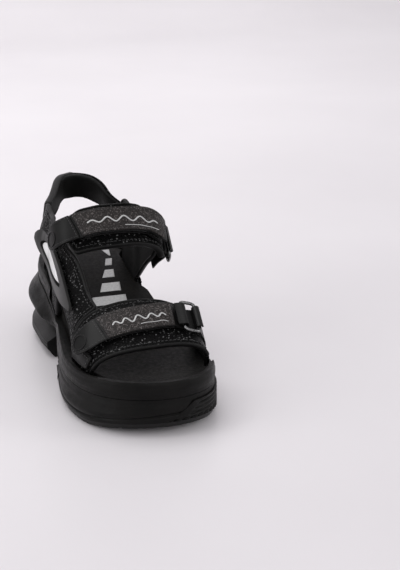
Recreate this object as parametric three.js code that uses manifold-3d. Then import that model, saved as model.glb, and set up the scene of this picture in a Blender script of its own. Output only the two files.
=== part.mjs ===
// Strappy sport sandal, right foot. Millimetres, +Z up, toe towards -Y, outer side of the foot towards -X.
import * as THREE from "three";
import { mergeVertices } from "three/addons/utils/BufferGeometryUtils.js";
import Module from "manifold-3d";

const wasm = await Module();
wasm.setup();

// ---------- driving sizes ----------
const GAP = 0.3; // air left between neighbouring pieces
const TIP_TOE = -130; // front end of the sole
const TIP_HEEL = 131; // rear end of the sole
const RIM_HEIGHT = 12; // height of the rim band above the midsole
const RIM_LIP = 1; // how far the rim stands above the footbed
const RIM_FLOOR = 5; // thickness of the rim band's floor
const BOARD = 1.6; // stiff insole board
const COVER = 0.9; // footbed cover sheet
const TREAD = 4; // outsole rubber
const POD_TOP = 20.5; // height of the heel pod
const WING = 9; // how far the heel wing stands out past the rim
const NOTCH = 11; // depth of the notch between the wing and the heel pod
const SCOOP = 8; // depth of the hollow in the outer arch
const BUMPER = 2.2; // toe bumper rubber
const BUMPER_DROP = 3.5; // from the top of the midsole down to the top of the toe bumper
const LINING = 1.5; // soft lining of the upper
const SHELL = 1.3; // outer mesh of the upper
const WEB = 1.2; // strap webbing
const TAPE = 0.7; // hook tape and loop tape
const PATCH = 0.8; // decorated patch on a strap
const RING_BAR = 1.3; // radius of a ring's bar
const RING_REACH = 12; // distance between a ring's two long bars
const RING_PLAY = 0.9; // air round a ring bar inside its strap fold
const HINGE_GAP = 2.4; // from the end of a strap fold to the free leg of the strap
const RING_TILT_PLAY = 0.4; // air round a ring bar inside its anchor loop
const ANKLE_WIDTH = 20; // ankle strap
const FOREFOOT_WIDTH = 19; // forefoot strap

// ---------- small maths ----------
const lerp = (a, b, t) => a + (b - a) * t;
const clamp = (v, lo = 0, hi = 1) => Math.min(hi, Math.max(lo, v));
const smooth = (lo, hi, v) => {
  const t = clamp((v - lo) / (hi - lo));
  return t * t * (3 - 2 * t);
};
const bump = (v, centre, width) => Math.exp(-(((v - centre) / width) ** 2));

// A smooth curve through [place, value] pairs, read by place.
function profile(pairs) {
  return (place) => {
    const at = clamp(place, pairs[0][0], pairs.at(-1)[0]);
    const found = pairs.findIndex(([p]) => p >= at);
    const i = Math.max(found, 1);
    const [[p0, v0], [p1, v1]] = [pairs[i - 1], pairs[i]];
    const slope = (k) => {
      const [a, b] = [pairs[Math.max(k - 1, 0)], pairs[Math.min(k + 1, pairs.length - 1)]];
      return (b[1] - a[1]) / (b[0] - a[0]);
    };
    const h = p1 - p0;
    const t = (at - p0) / h;
    const start = v0 * (1 + 2 * t) * (1 - t) ** 2 + slope(i - 1) * h * t * (1 - t) ** 2;
    const end = v1 * t * t * (3 - 2 * t) - slope(i) * h * t * t * (1 - t);
    return start + end;
  };
}

// ---------- foot form: every strap and panel is laid at a height above it ----------
const footbed = profile([[TIP_TOE, 38], [-95, 36], [-60, 36], [-20, 40], [20, 48], [60, 56], [100, 61], [TIP_HEEL, 63]]);
const crown = profile([[-125, 42], [-95, 53], [-72, 66], [-57, 71], [-35, 84], [-15, 101], [0, 116], [14, 131], [30, 147], [60, 165]]);
const halfWidth = profile([[-122, 20], [-108, 34], [-92, 39.5], [-62, 42], [-35, 39], [0, 35], [40, 32], [80, 31], [105, 25], [122, 12]]);
const middle = profile([[-122, 5], [-95, 1.5], [-60, 0], [-20, -2], [20, -3], [80, -1.5], [122, 0]]);
const boxiness = profile([[-100, 2.3], [-60, 2.4], [0, 3.2], [60, 3.2]]);

function footLevel(p) {
  const flare = smooth(66, 104, p.z);
  const spread = p.x - middle(p.y) - 3 * flare;
  const half = halfWidth(p.y) + (spread < 0 ? 3 : 5) * flare;
  const n = boxiness(p.y) - (spread < 0 ? 0 : 0.5 * flare);
  const across = Math.abs(spread) / half;
  const up = Math.max(p.z - footbed(p.y), 0) / (crown(p.y) - footbed(p.y));
  const foot = ((across ** n + up ** n) ** (1 / n) - 1) * half + 30 * smooth(35, 70, p.y);
  const taper = smooth(66, 90, p.y) * smooth(88, 108, p.z);
  const ankleBone = spread < 0 ? 13 * bump(p.z, 92, 20) * bump(p.y, 46, 28) : 0;
  const legHalf = 30 + 2 * bump(p.z, 82, 18) - 2 * flare - 7 * taper + ankleBone;
  const legLong = 53 - 4 * flare;
  const m = 2.4 - 0.45 * flare;
  const legAcross = Math.abs(p.x - 1 - 4 * smooth(70, 105, p.y) + 4 * taper) / legHalf;
  const legAlong = Math.abs(p.y - 66) / legLong;
  const leg = ((legAcross ** m + legAlong ** m) ** (1 / m) - 1) * legHalf;
  const k = 8;
  const h = clamp(0.5 + (0.5 * (foot - leg)) / k);
  return lerp(foot, leg, h) - k * h * (1 - h);
}

function footNormal(p) {
  const e = 0.05;
  const slope = (dx, dy, dz) => {
    const d = new THREE.Vector3(dx, dy, dz).multiplyScalar(e);
    return (footLevel(p.clone().add(d)) - footLevel(p.clone().sub(d))) / (2 * e);
  };
  return new THREE.Vector3(slope(1, 0, 0), slope(0, 1, 0), slope(0, 0, 1));
}

// Moves a point to the wanted height above the foot form.
function onFoot(point, height) {
  const p = point.clone();
  for (let i = 0; i < 12; i++) {
    const n = footNormal(p);
    p.addScaledVector(n, clamp((height - footLevel(p)) / n.lengthSq(), -6, 6));
  }
  return p;
}

// ---------- solids ----------
function solid(positions, indices) {
  const geometry = new THREE.BufferGeometry();
  geometry.setAttribute("position", new THREE.Float32BufferAttribute(positions, 3));
  geometry.setIndex(indices);
  geometry.computeVertexNormals();
  return geometry;
}

// A closed sheet from two matching grids of points, [row][column], the second on the outside.
function sheet(inner, outer) {
  const rows = inner.length;
  const cols = inner[0].length;
  const positions = [...inner.flat(), ...outer.flat()].flatMap((p) => [p.x, p.y, p.z]);
  const indices = [];
  const id = (side, r, c) => side * rows * cols + r * cols + c;
  const quad = (a, b, c, d) => indices.push(a, b, c, a, c, d);
  for (let r = 0; r < rows - 1; r++) {
    for (let c = 0; c < cols - 1; c++) {
      quad(id(1, r, c), id(1, r, c + 1), id(1, r + 1, c + 1), id(1, r + 1, c));
      quad(id(0, r, c), id(0, r + 1, c), id(0, r + 1, c + 1), id(0, r, c + 1));
    }
    quad(id(0, r, 0), id(1, r, 0), id(1, r + 1, 0), id(0, r + 1, 0));
    quad(id(1, r, cols - 1), id(0, r, cols - 1), id(0, r + 1, cols - 1), id(1, r + 1, cols - 1));
  }
  for (let c = 0; c < cols - 1; c++) {
    quad(id(1, 0, c), id(0, 0, c), id(0, 0, c + 1), id(1, 0, c + 1));
    quad(id(0, rows - 1, c), id(1, rows - 1, c), id(1, rows - 1, c + 1), id(0, rows - 1, c + 1));
  }
  return solid(positions, indices);
}

// A grid of points through a few hand-placed curves.
function grid(curves, rows, cols) {
  const along = curves.map((points) =>
    new THREE.CatmullRomCurve3(points.map((p) => new THREE.Vector3(...p)), false, "centripetal").getPoints(cols - 1),
  );
  const across = along[0].map((_, c) =>
    new THREE.CatmullRomCurve3(along.map((line) => line[c]), false, "centripetal").getPoints(rows - 1),
  );
  return Array.from({ length: rows }, (_, r) => across.map((line) => line[r]));
}

// A panel of cloth or webbing laid on the foot form between two heights.
function panel(points, low, thickness) {
  const lay = (height) => points.map((row) => row.map((p) => onFoot(p, height)));
  const [inner, outer] = [lay(low), lay(low + thickness)];
  const geometry = sheet(inner, outer);
  return isInsideOut(geometry) ? sheet(outer, inner) : geometry;
}

function isInsideOut(geometry) {
  const pos = geometry.getAttribute("position");
  const index = geometry.getIndex();
  const [a, b, c] = [new THREE.Vector3(), new THREE.Vector3(), new THREE.Vector3()];
  let volume = 0;
  for (let i = 0; i < index.count; i += 3) {
    a.fromBufferAttribute(pos, index.getX(i));
    b.fromBufferAttribute(pos, index.getX(i + 1));
    c.fromBufferAttribute(pos, index.getX(i + 2));
    volume += a.dot(b.cross(c));
  }
  return volume < 0;
}

// A solid of stacked rings. Each ring is a list of points that runs toe to heel on the outer side
// and back on the inner side, so that caps are bridged straight across.
function stack(rings) {
  const n = rings[0].length;
  const positions = rings.flat().flatMap((p) => [p.x, p.y, p.z]);
  const indices = [];
  for (let k = 0; k < rings.length - 1; k++) {
    for (let i = 0; i < n; i++) {
      const j = (i + 1) % n;
      const [a, b, c, d] = [k * n + i, k * n + j, (k + 1) * n + j, (k + 1) * n + i];
      indices.push(a, c, b, a, d, c);
    }
  }
  const top = (rings.length - 1) * n;
  for (let i = 0; i < n / 2; i++) {
    const [a, b, c, d] = [i, i + 1, n - i - 1, (n - i) % n];
    if (b !== c) indices.push(a, b, c, top + a, top + c, top + b);
    if (a !== d) indices.push(a, c, d, top + a, top + d, top + c);
  }
  return solid(positions, indices);
}

const toSolid = (geometry) => {
  const positions = geometry.getAttribute("position").array;
  const triVerts = new Uint32Array(geometry.getIndex().array);
  return new wasm.Manifold(new wasm.Mesh({ numProp: 3, vertProperties: positions, triVerts }));
};

const toGeometry = (manifold) => {
  const mesh = manifold.getMesh();
  return solid(Array.from(mesh.vertProperties), Array.from(mesh.triVerts));
};

// A box used for cutting, from its size and centre, turned about the upright axis or leaned sideways.
function cutBox(size, centre, turn = 0, lean = 0) {
  const box = new THREE.BoxGeometry(...size);
  box.deleteAttribute("normal");
  box.deleteAttribute("uv");
  return toSolid(mergeVertices(box).rotateZ(turn).rotateY(lean).translate(...centre));
}

// ---------- sole outline ----------
const OUTLINE = [
  [8, TIP_TOE], [-22, -122.5], [-43, -100], [-52, -64], [-47.5, -22], [-40, 20], [-37.5, 60], [-35.5, 94], [-23, 121],
  [3, TIP_HEEL], [28, 121], [39, 94], [37, 60], [35, 20], [42, -22], [50, -62], [46, -98], [32, -120.5],
];
const HEEL_POINT = 9;
const outline = new THREE.CatmullRomCurve3(OUTLINE.map(([x, y]) => new THREE.Vector3(x, y, 0)), true, "centripetal");

// One ring of the sole; step(y, side) gives the distance out from the outline, level(y, side) the height.
function ring(count, step, level) {
  const split = HEEL_POINT / OUTLINE.length;
  const points = [];
  for (let i = 0; i < count; i++) {
    const half = count / 2;
    const t = i <= half ? (split * i) / half : split + ((1 - split) * (i - half)) / half;
    const p = outline.getPoint(t);
    const along = outline.getTangent(t);
    const out = new THREE.Vector3(-along.y, along.x, 0);
    const side = i <= half ? -1 : 1;
    const q = p.clone().addScaledVector(out, step(p.y, side));
    q.z = level(p.y, side);
    points.push(q);
  }
  return points;
}

const SPRING = (y) => 7 * smooth(-85, -140, y) + 3 * smooth(112, 140, y);

const pieces = [];
const COLOURS = {
  rubber: ["#1b1b1d", 0.8, 0],
  foam: ["#2b292a", 0.65, 0],
  cloth: ["#151516", 0.9, 0],
  glitter: ["#3a3735", 0.55, 0.2],
  lining: ["#0f0f10", 0.85, 0],
  moulded: ["#2c2a2a", 0.5, 0],
  tape: ["#0c0c0d", 1, 0],
  steel: ["#6b6a6a", 0.3, 0.9],
  silver: ["#b9b7b8", 0.35, 0.6],
  grey: ["#5d5b5a", 0.5, 0.1],
};

function add(name, geometry, look) {
  const [color, roughness, metalness] = COLOURS[look];
  const mesh = new THREE.Mesh(geometry, new THREE.MeshStandardMaterial({ color, roughness, metalness }));
  mesh.name = name;
  pieces.push(mesh);
}

// ---------- sole ----------
const AROUND = 72;
const POD_FRONT = 36;
const BUMPER_END = -82;
const BUMPER_PROUD = 0.9; // how far the bumper stands out beyond the sole's outline
const midsoleTop = (y) => footbed(y) + RIM_LIP - RIM_HEIGHT - GAP;
const midsoleBottom = (y) => TREAD + GAP + SPRING(y) + (POD_TOP - TREAD) * smooth(10, POD_FRONT - 7, y);
const outerHeel = (y, side) => smooth(18, 52, y) * (side < 0 ? 1 : 0.35);

function midsoleStep(y, side, h) {
  const heel = outerHeel(y, side);
  const rear = smooth(95, 125, y);
  const out = Math.max(heel, rear * 0.75);
  const wing = out * WING * bump(h, 0.5, 0.3);
  const notch = Math.max(out, 0.5 * smooth(20, 50, y)) * NOTCH * (1 - smooth(0, 0.32, h));
  const scoop = side < 0 ? SCOOP * bump(y, 12, 20) * bump(h, 0.3, 0.32) : 3 * bump(y, 5, 40) * bump(h, 0.5, 0.5);
  const belly = 2 * bump(h, 0.25, 0.3) * smooth(0, -30, y);
  return wing - notch - scoop + belly - 0.2;
}

// The bumper covers the inner corner of the toe, up to a slanting edge that rises from the ground.
const bumperShell = (step, more) =>
  toSolid(
    stack([
      ring(AROUND, () => step, (y) => TREAD + GAP + SPRING(y) - more),
      ring(AROUND, () => step, (y) => midsoleTop(y) - BUMPER_DROP + more),
    ]),
  );
const bumperWedge = (more) => {
  const [size, lean] = [120, 0.98];
  const out = size / 2 - more;
  const below = cutBox([size, 300, size], [10 + out * Math.cos(lean), 0, 16 - out * Math.sin(lean)], 0, lean);
  return below.intersect(cutBox([200, 100, 100], [0, BUMPER_END - 50 + more, 0]));
};
const bumperWall = (outer, inner, more) =>
  bumperShell(outer, more).subtract(bumperShell(inner, more + 1)).intersect(bumperWedge(more));

const MIDSOLE_LEVELS = [0, 0.1, 0.2, 0.32, 0.42, 0.5, 0.6, 0.72, 0.86, 1];
const midsoleRings = MIDSOLE_LEVELS.map((h) =>
  ring(AROUND, (y, side) => midsoleStep(y, side, h), (y) => lerp(midsoleBottom(y), midsoleTop(y), h)),
);
const midsoleBody = toSolid(stack(midsoleRings)).subtract(bumperWall(5, BUMPER_PROUD - BUMPER - GAP, GAP));
add("midsole", toGeometry(midsoleBody), "foam");
add("toe_bumper", toGeometry(bumperWall(BUMPER_PROUD, BUMPER_PROUD - BUMPER, 0)), "rubber");

const cutBehind = (geometry, y0) => {
  const block = cutBox([300, 300, 300], [0, y0 + 150, 0]);
  return toGeometry(toSolid(geometry).intersect(block));
};
const podLevels = [[TREAD + GAP, 0], [8, 2], [13, 2], [17, -4], [POD_TOP, -NOTCH]];
const podRings = podLevels.map(([z, step]) =>
  ring(AROUND, (y, side) => step + 5 * outerHeel(y, side) * bump(z, 10, 8), (y) => z + SPRING(y) * (z < 12 ? 1 : 0)),
);
add("heel_pod", cutBehind(stack(podRings), POD_FRONT), "rubber");

function tread(name, from, to, ribs) {
  const plate = toSolid(
    stack([
      ring(AROUND, () => -1.5, (y) => SPRING(y)),
      ring(AROUND, (y, side) => 0.5 + 2 * outerHeel(y, side), (y) => TREAD + SPRING(y)),
    ]),
  );
  const span = cutBox([200, to - from, 60], [0, (from + to) / 2, 0]);
  let made = plate.intersect(span);
  ribs.forEach((y) => {
    const groove = cutBox([200, 3, 3.2], [0, y, SPRING(y)], 0.14);
    made = made.subtract(groove);
  });
  add(name, toGeometry(made), "rubber");
}
tread("outsole_forefoot", TIP_TOE - 10, 10, [-112, -98, -84, -70, -56, -42, -28, -14]);
tread("outsole_heel", POD_FRONT, TIP_HEEL + 10, [50, 64, 78, 92, 106]);

// Rim band: a tray whose pocket follows the foot form, so that the upper's edges tuck in round the footbed.
const TUCK = LINING + SHELL + WEB + 1.8;
const TIP_WALL = 4.3; // rim thickness at the toe
// Where the foot form's side wall stands, level by level, at one place along the sole.
function wallAt(y, side, height) {
  let [near, far] = [0, 70];
  for (let i = 0; i < 24; i++) {
    const reach = (near + far) / 2;
    const inside = footLevel(new THREE.Vector3(middle(y) + side * reach, y, footbed(y) - 8)) < height;
    [near, far] = inside ? [reach, far] : [near, reach];
  }
  return middle(y) + side * near;
}
const footRing = (height, drop) =>
  ring(AROUND, (y, side) => height(y, side) - TUCK - TIP_WALL, () => 0).map((tip, i) => {
    const side = i <= AROUND / 2 ? -1 : 1;
    const free = Math.max(smooth(-92, -104, tip.y), smooth(98, 110, tip.y));
    const x = lerp(wallAt(tip.y, side, height(tip.y, side)), tip.x, free);
    return new THREE.Vector3(x, tip.y, footbed(tip.y) + drop);
  });
const rimBody = toSolid(
  stack([
    ring(AROUND, () => -0.3, (y) => midsoleTop(y) + GAP),
    ring(AROUND, () => 0.3, (y) => midsoleTop(y) + GAP + 3),
    ring(AROUND, () => 0.3, (y) => footbed(y) - 2),
    ring(AROUND, () => -1, (y) => footbed(y) + RIM_LIP),
  ]),
);
const rimFloor = RIM_LIP - RIM_HEIGHT + RIM_FLOOR;
const pocket = toSolid(stack([footRing(() => TUCK, rimFloor), footRing(() => TUCK, 10)]));
const anchorSlot = cutBox([10, FOREFOOT_WIDTH * 1.6, 15], [46, -71, 36.5]);
add("rim_band", toGeometry(rimBody.subtract(pocket).subtract(anchorSlot)), "foam");

// The footbed narrows where the upper tucks in beside it.
const tuckLateral = (y) => smooth(-110, -102, y) * (1 - smooth(94, 99, y));
const tuckMedial = (y) =>
  smooth(-110, -102, y) * (1 - smooth(-44, -38, y)) + smooth(32, 38, y) * (1 - smooth(94, 99, y));
const bedEdge = (y, side) => lerp(TUCK - GAP, -0.8, side < 0 ? tuckLateral(y) : tuckMedial(y));
function bedLayer(name, from, to, look) {
  add(name, stack([footRing(bedEdge, from), footRing(bedEdge, to)]), look);
}
const boardBase = rimFloor + GAP;
bedLayer("insole_board", boardBase, boardBase + BOARD, "cloth");
bedLayer("footbed_foam", boardBase + BOARD + GAP, -COVER - GAP, "foam");
bedLayer("footbed_cover", -COVER, 0, "lining");

// ---------- heights above the foot form ----------
const LINING_AT = 0.2;
const SHELL_AT = LINING_AT + LINING + GAP;
const OVERLAY_AT = SHELL_AT + SHELL + GAP;
const INSTEP_PAD = 2.2; // padded lining of the instep pad
const HEEL_PAD = 3; // padded lining of the heel strap
const bandLevels = (base, anchor) => {
  const loop = base + WEB + GAP;
  const hook = loop + TAPE + GAP;
  const free = hook + TAPE + GAP;
  return { anchor, base, loop, hook, free, patch: free + WEB + GAP };
};
const FOREFOOT = bandLevels(OVERLAY_AT + 2.1, OVERLAY_AT + 1);
const ANKLE = bandLevels(LINING_AT + INSTEP_PAD + GAP + SHELL + 0.7, OVERLAY_AT + 1.7);

// ---------- upper ----------
const tuckIn = (x, y) => [x, y, footbed(y) + rimFloor + GAP];
function pair(name, curves, rows, cols, lining = LINING) {
  const points = grid(curves, rows, cols);
  add(name + "_lining", panel(points, LINING_AT, lining), "lining");
  add(name + "_shell", panel(points, LINING_AT + lining + GAP, SHELL), "glitter");
}

pair("forefoot_band", [
  [tuckIn(-40, -90), [-38, -92, 40], [-25, -96, 50], [4, -97.5, 53], [28, -95, 50], [41, -92, 40], tuckIn(43, -90)],
  [tuckIn(-43, -71), [-43, -72, 44], [-33, -75, 58], [2, -76, 64.5], [30, -76, 60], [43, -73, 44], tuckIn(43, -72)],
  [tuckIn(-43, -53), [-44, -54, 44], [-34, -55, 62], [0, -56, 71], [32, -57, 62], [43, -57, 44], tuckIn(43, -56)],
], 6, 23);

pair("lateral_bridge", [
  [[-44, -52.6, 44], [-44, -42, 51], [-43, -22, 59], [-41, -6, 65], [-39, 4.5, 70]],
  [[-38, -53.4, 58], [-40, -42, 66], [-40, -22, 75], [-39, -6, 81], [-38, 4, 87]],
  [[-26, -53.6, 68], [-30, -42, 77], [-30, -26, 87], [-30.5, -15, 93.5], [-37.5, 3.5, 103]],
], 6, 13);

pair("lateral_quarter", [
  [tuckIn(-36, 14), tuckIn(-34, 50), tuckIn(-31, 88)],
  [[-39, 7, 66], [-37, 45, 76], [-32, 84, 80]],
  [[-38, 5.5, 88], [-37, 38, 96], [-34, 76, 99]],
  [[-37, 5.5, 105], [-36, 36, 110], [-34, 70, 114]],
], 7, 11);

pair("medial_quarter", [
  [tuckIn(33, 50), tuckIn(33, 68), tuckIn(31, 88)],
  [[33, 36, 62], [33, 60, 70], [31, 86, 76]],
  [[37, 10, 82], [36, 46, 89], [33, 82, 97]],
  [[40, 2.5, 97], [39, 34, 104], [35, 73, 112]],
], 7, 11);

pair("instep_pad", [
  [[-29, -13, 96.5], [-22, -15, 98], [-4, -16, 99], [16, -15, 99], [31, -13, 95], [37, -11, 87]],
  [[-32.5, -5, 103], [-25, -3, 109], [0, -3, 110], [22, -3, 110], [35, -5, 104], [39.5, -7, 92]],
  [[-36, 4.5, 107], [-26, 8, 119], [0, 9, 122], [22, 8, 121], [36, 2, 112], [40.5, -3, 99]],
], 5, 13, INSTEP_PAD);

pair("heel_strap", [
  [[-34, 77.2, 99.5], [-31, 98, 101], [-16, 112, 104], [3, 116, 104], [18, 112, 103], [29, 98, 100], [33, 84, 97]],
  [[-31, 71.7, 113], [-27, 93, 117], [-14, 108, 121], [1, 112, 122.5], [11, 106, 121], [20, 91, 115], [28, 76, 108]],
], 5, 19, HEEL_PAD);

add("corner_panel", panel(grid([
  [[-44, -60, 38.5], [-44, -74, 38.5], [-40, -88, 38.5]],
  [[-43, -61, 47], [-42, -74, 48], [-37, -88, 45]],
], 4, 9), OVERLAY_AT, SHELL), "cloth");

// ---------- outer ornament ----------
const LEAF = new THREE.CatmullRomCurve3(
  [[-42, 53, 93], [-43, 26, 86], [-42, -8, 77], [-41, -40, 65]].map((p) => new THREE.Vector3(...p)),
);
const LEAF_HALF = 16; // half width of the ornament at its widest
const LEAF_AT = OVERLAY_AT + 0.9;
function leaf(scale, rows = 5, cols = 19) {
  const side = (sign) =>
    Array.from({ length: cols }, (_, i) => {
      const t = i / (cols - 1);
      const p = LEAF.getPoint(lerp(0.36, 0.5, scale) + (t - 0.5) * scale);
      const half = scale * LEAF_HALF * Math.max(Math.sin(Math.PI * t ** 0.8) ** 0.75, 0.12);
      return [p.x, p.y + sign * half * 0.35, p.z + sign * half * 0.94];
    });
  return grid([side(-1), side(0), side(1)], rows, cols);
}
const leafBody = toSolid(panel(leaf(1), LEAF_AT, 2));
const leafHole = toSolid(panel(leaf(0.6), LEAF_AT - 1, 4));
add("ornament_frame", toGeometry(leafBody.subtract(leafHole)), "grey");
add("ornament_insert", panel(leaf(0.52), LEAF_AT, 1), "silver");

// ---------- straps ----------
// A strap's route over the foot form from its ring to its tab, measured in millimetres from the ring's
// free bar. Points behind the ring have a negative distance.
function route(points, ringAt) {
  const curve = new THREE.CatmullRomCurve3(points.map((p) => onFoot(new THREE.Vector3(...p), 0)), false, "centripetal");
  const length = curve.getLength();
  const start = curve.getLengths(200)[Math.round(ringAt * 200)];
  const frame = (s, height) => {
    const u = clamp((start + s) / length);
    const point = curve.getPointAt(u);
    const along = curve.getTangentAt(u);
    const out = footNormal(onFoot(point, height)).normalize();
    const t = along.clone().addScaledVector(out, -along.dot(out)).normalize();
    return { origin: onFoot(point, height), along: t, out, wide: new THREE.Vector3().crossVectors(out, t) };
  };
  // Layers of one strap share their columns, so that they bend alike.
  const strip = (from, to, width, step = 4, rows = 5) => {
    const columns = [from];
    for (let s = Math.ceil((from + step / 4) / step) * step; s < to - step / 4; s += step) columns.push(s);
    columns.push(to);
    return Array.from({ length: rows }, (_, r) =>
      columns.map((s) => {
        const { origin, wide } = frame(s, 0);
        return origin.clone().addScaledVector(wide, (r / (rows - 1) - 0.5) * width(s));
      }),
    );
  };
  return { frame, strip };
}

// A band of constant thickness bent along a flat path, extruded across the strap.
function bentBand(frame, path, width) {
  const points = path.map(([x, y]) => new THREE.Vector2(x, y));
  const side = (sign) =>
    points.map((p, i) => {
      const a = points[Math.max(i - 1, 0)];
      const b = points[Math.min(i + 1, points.length - 1)];
      const d = b.clone().sub(a).normalize();
      return new THREE.Vector2(p.x - (sign * d.y * WEB) / 2, p.y + (sign * d.x * WEB) / 2);
    });
  const shape = new THREE.Shape([...side(1), ...side(-1).reverse()]);
  const geometry = new THREE.ExtrudeGeometry(shape, { depth: width, bevelEnabled: false, steps: 1 });
  geometry.translate(0, 0, -width / 2);
  const basis = new THREE.Matrix4().makeBasis(frame.along, frame.out, frame.along.clone().cross(frame.out));
  return geometry.applyMatrix4(basis.setPosition(frame.origin));
}

const arc = (x, y, r, from, to, steps) =>
  Array.from({ length: steps + 1 }, (_, i) => {
    const a = lerp(from, to, i / steps);
    return [x + r * Math.cos(a), y + r * Math.sin(a)];
  });

// The centre line of a ring: two long bars joined by rounded ends.
function ringPath(width) {
  const corner = 3;
  const path = new THREE.CurvePath();
  const [w, h] = [width / 2 + 2 * RING_BAR + 0.6, RING_REACH / 2];
  const corners = [[w, h], [-w, h], [-w, -h], [w, -h]];
  const V = (x, y) => new THREE.Vector3(x, y, 0);
  corners.forEach(([x, y], i) => {
    const [nx, ny] = corners[(i + 1) % 4];
    const [dx, dy] = [Math.sign(nx - x), Math.sign(ny - y)];
    const [ex, ey] = [nx - dx * corner, ny - dy * corner];
    const [qx, qy] = corners[(i + 2) % 4];
    path.add(new THREE.LineCurve3(V(x + dx * corner, y + dy * corner), V(ex, ey)));
    const turn = V(nx + Math.sign(qx - nx) * corner, ny + Math.sign(qy - ny) * corner);
    path.add(new THREE.QuadraticBezierCurve3(V(ex, ey), V(nx, ny), turn));
  });
  return path;
}

function roundBar(points, radius, around = 8) {
  const n = points.length;
  const positions = [];
  const indices = [];
  points.forEach((p, i) => {
    const along = points[(i + 1) % n].clone().sub(points[(i + n - 1) % n]).normalize();
    const flat = new THREE.Vector3(0, 0, 1);
    const side = new THREE.Vector3().crossVectors(along, flat);
    for (let k = 0; k < around; k++) {
      const a = (2 * Math.PI * k) / around;
      const q = p.clone().addScaledVector(side, radius * Math.cos(a)).addScaledVector(flat, radius * Math.sin(a));
      positions.push(q.x, q.y, q.z);
      const [i2, k2] = [(i + 1) % n, (k + 1) % around];
      const [A, B, C, D] = [i * around + k, i2 * around + k, i2 * around + k2, i * around + k2];
      indices.push(A, C, B, A, D, C);
    }
  });
  const geometry = solid(positions, indices);
  return isInsideOut(geometry) ? solid(positions, indices.reverse()) : geometry;
}

function strap(name, line, width, level, lengths) {
  const barAt = level.base + WEB + RING_PLAY + RING_BAR;
  const frame = line.frame(0, barAt);
  const turn = RING_PLAY + RING_BAR + WEB / 2;
  const legLow = level.base + WEB / 2 - barAt;
  const legHigh = level.free + WEB / 2 - barAt;
  const fold = [
    [lengths.fold, legLow],
    ...arc(0, 0, turn, -Math.PI / 2, (-3 * Math.PI) / 2, 12),
    [lengths.fold * 0.55, lerp(turn, legHigh, 0.7)],
    [lengths.fold, legHigh],
  ];
  add(name + "_fold", bentBand(frame, fold, width), "cloth");

  const barPoints = ringPath(width).getSpacedPoints(36).slice(0, -1);
  const wide = frame.along.clone().cross(frame.out);
  const ringBasis = new THREE.Matrix4().makeBasis(wide, frame.along, frame.out);
  const centre = frame.origin.clone().addScaledVector(frame.along, -RING_REACH / 2);
  add(name + "_ring", roundBar(barPoints, RING_BAR).applyMatrix4(ringBasis.setPosition(centre)), "steel");

  const loop = RING_BAR + RING_TILT_PLAY + WEB / 2;
  const anchorPath = [];
  const steps = 6;
  for (let i = 0; i <= steps; i++) {
    const s = lerp(lengths.anchor, -RING_REACH - 5, i / steps);
    const p = line.frame(s, level.anchor + WEB / 2).origin.sub(frame.origin);
    anchorPath.push([p.dot(frame.along), p.dot(frame.out)]);
  }
  const wrap = arc(-RING_REACH, 0, loop, -Math.PI * 0.5, Math.PI * 0.82, 12);
  add(name + "_anchor", bentBand(frame, [...anchorPath, ...wrap], width - 1), "cloth");

  const even = () => width;
  const lay = (part, from, to, wide, low, thick, look) => {
    add(name + "_" + part, panel(line.strip(from, to, wide), low, thick), look);
  };
  const root = lengths.fold + HINGE_GAP;
  lay("base_leg", root, lengths.base, even, level.base, WEB, "cloth");
  lay("loop_tape", lengths.tape, lengths.base - 2, () => width - 2, level.loop, TAPE, "tape");
  lay("hook_tape", lengths.tape + 2, lengths.seam - 2, () => width - 2, level.hook, TAPE, "tape");
  lay("free_leg", root, lengths.seam, even, level.free, WEB, "cloth");
  lay("patch", lengths.patch, lengths.seam - 1, () => width - 1, level.patch, PATCH, "glitter");
  const tip = lengths.tip;
  const roundEnd = (s) => {
    const left = clamp((tip - s) / (width * 0.42));
    return width * Math.max(Math.sqrt(1 - (1 - left) ** 2), 0.3);
  };
  const tabPoints = line.strip(lengths.seam + GAP, tip, roundEnd, 2);
  add(name + "_tab", panel(tabPoints, level.free, 2), "moulded");
}

const forefootLine = route([
  tuckIn(43, -72), [43.5, -72, 44], [41, -74, 53], [33, -76, 61], [18, -77.5, 65], [0, -78.5, 65], [-22, -79, 62.5],
  [-36, -78.5, 56], [-42, -78, 49], [-44, -77, 42],
], 0.375);
strap("forefoot_strap", forefootLine, FOREFOOT_WIDTH, FOREFOOT, {
  fold: 5, anchor: -37, base: 55, tape: 12, patch: 7, seam: 55, tip: 74,
});

const ankleLine = route([
  [37, 32, 68], [39, 24, 76], [41, 15, 84], [42.5, 6, 93], [42.5, -1, 101], [38, -6, 108], [28, -6, 113], [3, -4.5, 114],
  [-14, -3.5, 113], [-27, -1.5, 109], [-35, 4, 105], [-39, 13, 101], [-41, 26, 97],
], 0.28);
strap("ankle_strap", ankleLine, ANKLE_WIDTH, ANKLE, {
  fold: 4.4, anchor: -27, base: 67, tape: 21, patch: 9, seam: 67, tip: 88,
});

const group = new THREE.Group();
group.name = "sport_sandal";
pieces.forEach((mesh) => group.add(mesh));

// The origin sits on the ground, under the middle of the sandal.
const extent = new THREE.Box3().setFromObject(group);
const centre = extent.getCenter(new THREE.Vector3());
group.position.set(-centre.x, -centre.y, -extent.min.z);
export default group;
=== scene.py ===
import math

import bmesh
import bpy
import numpy as np
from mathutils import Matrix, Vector
from mathutils.bvhtree import BVHTree


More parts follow.
